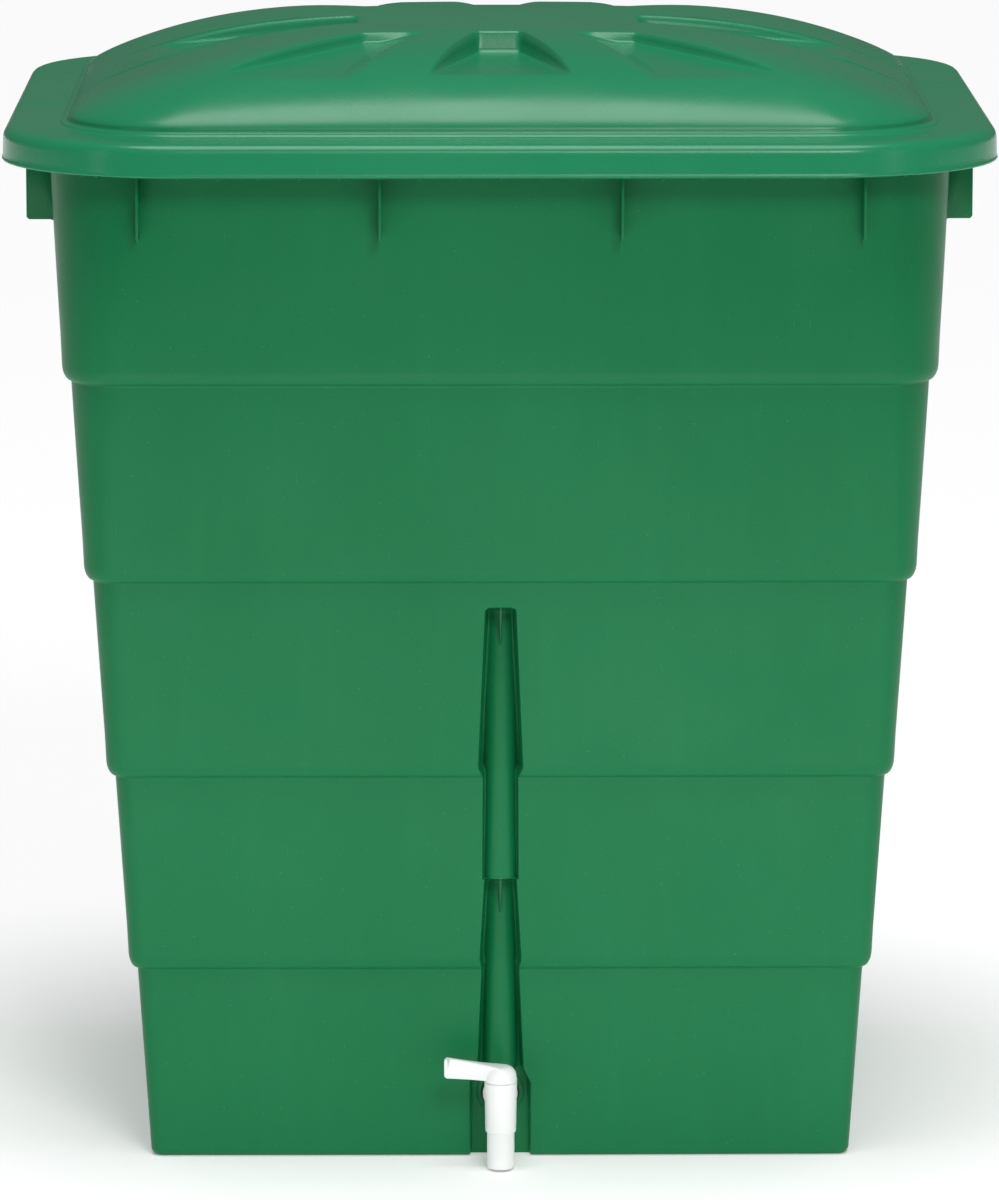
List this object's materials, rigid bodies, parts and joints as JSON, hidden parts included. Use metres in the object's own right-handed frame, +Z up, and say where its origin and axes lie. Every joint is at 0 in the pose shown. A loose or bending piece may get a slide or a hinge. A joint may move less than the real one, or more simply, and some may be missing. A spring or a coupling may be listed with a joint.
{
  "type": "rain barrel",
  "caption": "Rectangular tapered plastic rain tank with stepped walls, a lift-off domed lid and a lever tap low on the front.",
  "frame": {"origin": "middle of the tank's footprint at the level of its base", "axes": "+Z up, -Y towards the side with the tap, +X to the right when facing the tap"},
  "size_m": [0.818, 0.718, 0.932],
  "materials": {
    "tank_green": "satin moulded polypropylene",
    "lid_green": "semi-gloss moulded polypropylene",
    "tap_white": "semi-gloss moulded plastic",
    "seal_rubber": "matt black rubber"
  },
  "bodies": {
    "tank": {"tank": "tank_green", "tap_body": "tap_white", "outer_washer": "seal_rubber", "inner_washer": "seal_rubber", "lock_nut": "tap_white"},
    "lid": {"lid": "lid_green"},
    "lever": {"tap_lever": "tap_white", "plug_o_ring_upper": "seal_rubber", "plug_o_ring_lower": "seal_rubber"}
  },
  "joints": [
    {"name": "lid_lift", "type": "slide", "parent": "tank", "child": "lid", "axis": [0, 0, 1], "range_m": [0, 0.25]},
    {"name": "lever_turn", "type": "hinge", "parent": "tank", "child": "lever", "pos_m": [0, -0.288, 0.075], "axis": [0, 0, 1], "range_deg": [0, 90]}
  ]
}
